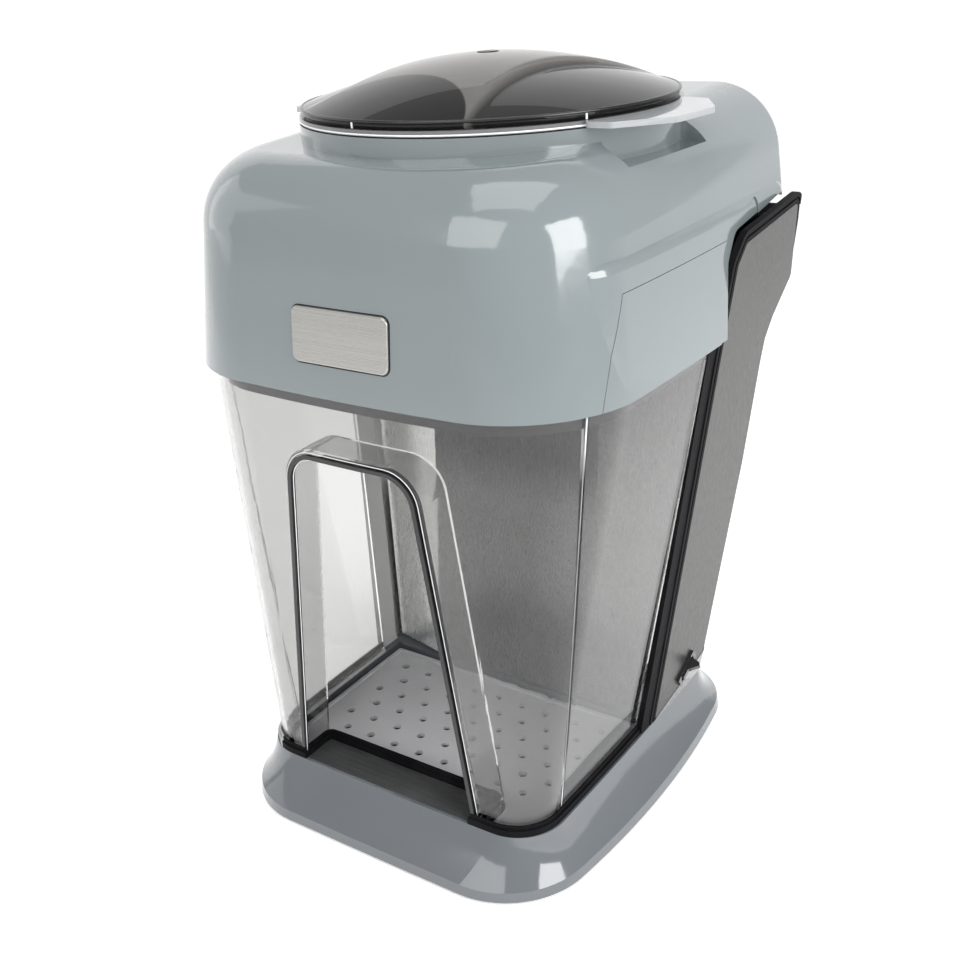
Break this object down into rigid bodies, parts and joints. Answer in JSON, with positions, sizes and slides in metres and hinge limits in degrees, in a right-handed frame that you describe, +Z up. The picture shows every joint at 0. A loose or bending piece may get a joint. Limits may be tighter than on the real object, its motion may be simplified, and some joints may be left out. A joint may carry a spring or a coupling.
{
  "type": "shaved ice machine",
  "caption": "Countertop shaved ice machine: round-shouldered grey head with a smoked lid over a hopper, clear tapering ice bin with a front opening, steel-sided rear column and flared base.",
  "frame": {"origin": "centre of the footprint, on the resting surface", "axes": "+Z up, -Y towards the front with the opening, +X towards the side with the switch"},
  "size_m": [0.2774, 0.2914, 0.432],
  "materials": {
    "grey": "gloss",
    "base_grey": "gloss",
    "clear": "clear",
    "smoke": "smoked",
    "tab_clear": "clear",
    "hopper_smoke": "gloss",
    "black": "matte",
    "steel_sheet": "brushed",
    "dark": "satin",
    "floor_grey": "satin",
    "badge": "satin",
    "bronze": "plain",
    "steel": "ground",
    "copper": "lacquered",
    "end_cap": "plain",
    "switch_black": "gloss",
    "nylon": "satin"
  },
  "bodies": {
    "chassis": {"upper_housing": "grey", "side_cover_left": "grey", "side_cover_right": "grey", "cover_strips": "grey", "base_shell": "base_grey", "bin_front": "clear", "bin_side_left": "clear", "bin_side_right": "clear", "rubber_feet": "black", "floor_gasket": "black", "arch_trim": "black", "column_gaskets": "black", "cord_bushing": "black", "column_side_left": "steel_sheet", "column_side_right": "steel_sheet", "column_front_panel": "steel_sheet", "base_cover": "dark", "column_back_cover": "dark", "lower_frame": "dark", "ice_chute": "dark", "switch_bezel": "dark", "gearbox_case": "dark", "gearbox_lid": "dark", "interlock_switch": "dark", "badge_plate": "badge", "hopper": "hopper_smoke", "cutter_bushes": "bronze", "idler_pin": "steel", "motor_can": "steel", "motor_bracket": "steel", "motor_screws": "steel", "motor_windings": "copper", "motor_end_cap": "end_cap"},
    "lid": {"lid_dome": "smoke", "lid_ring": "tab_clear"},
    "grate": {"drip_grate": "floor_grey"},
    "rocker": {"switch_rocker": "switch_black"},
    "cutter": {"main_gear": "nylon", "cutter_shaft": "steel", "cutter_disc": "steel", "cutter_blades": "steel", "cutter_knob": "dark"},
    "idler": {"idler_gear": "nylon"},
    "rotor": {"motor_rotor": "steel", "motor_pinion": "steel", "motor_fan": "dark"},
    "pin": {"interlock_pin": "nylon"}
  },
  "joints": [
    {"name": "lid_lift", "type": "slide", "parent": "chassis", "child": "lid", "axis": [0, 0, 1], "range_m": [0, 0.08]},
    {"name": "grate_lift", "type": "slide", "parent": "chassis", "child": "grate", "axis": [0, 0, 1], "range_m": [0, 0.03]},
    {"name": "switch_rock", "type": "hinge", "parent": "chassis", "child": "rocker", "pos_m": [0.10502, 0.054, 0.05161], "axis": [0.0901, -0.5878, 0.804], "range_deg": [-20, 0]},
    {"name": "cutter_spin", "type": "hinge", "parent": "chassis", "child": "cutter", "pos_m": [0, 0.0212, 0.33], "axis": [0, 0, 1], "continuous": true},
    {"name": "idler_spin", "type": "hinge", "parent": "chassis", "child": "idler", "pos_m": [0.0255, 0.05551, 0.3], "axis": [0, 0, 1], "continuous": true},
    {"name": "rotor_spin", "type": "hinge", "parent": "chassis", "child": "rotor", "pos_m": [0, 0.074, 0.24], "axis": [0, 0, 1], "continuous": true},
    {"name": "pin_rise", "type": "slide", "parent": "chassis", "child": "pin", "axis": [0, 0, 1], "range_m": [0, 0.003]}
  ],
  "couplings": [
    {"joint": "idler_spin", "follows": "cutter_spin", "ratio": -3.0714},
    {"joint": "rotor_spin", "follows": "cutter_spin", "ratio": 7.6786},
    {"joint": "pin_rise", "follows": "lid_lift", "ratio": 0.0375}
  ]
}
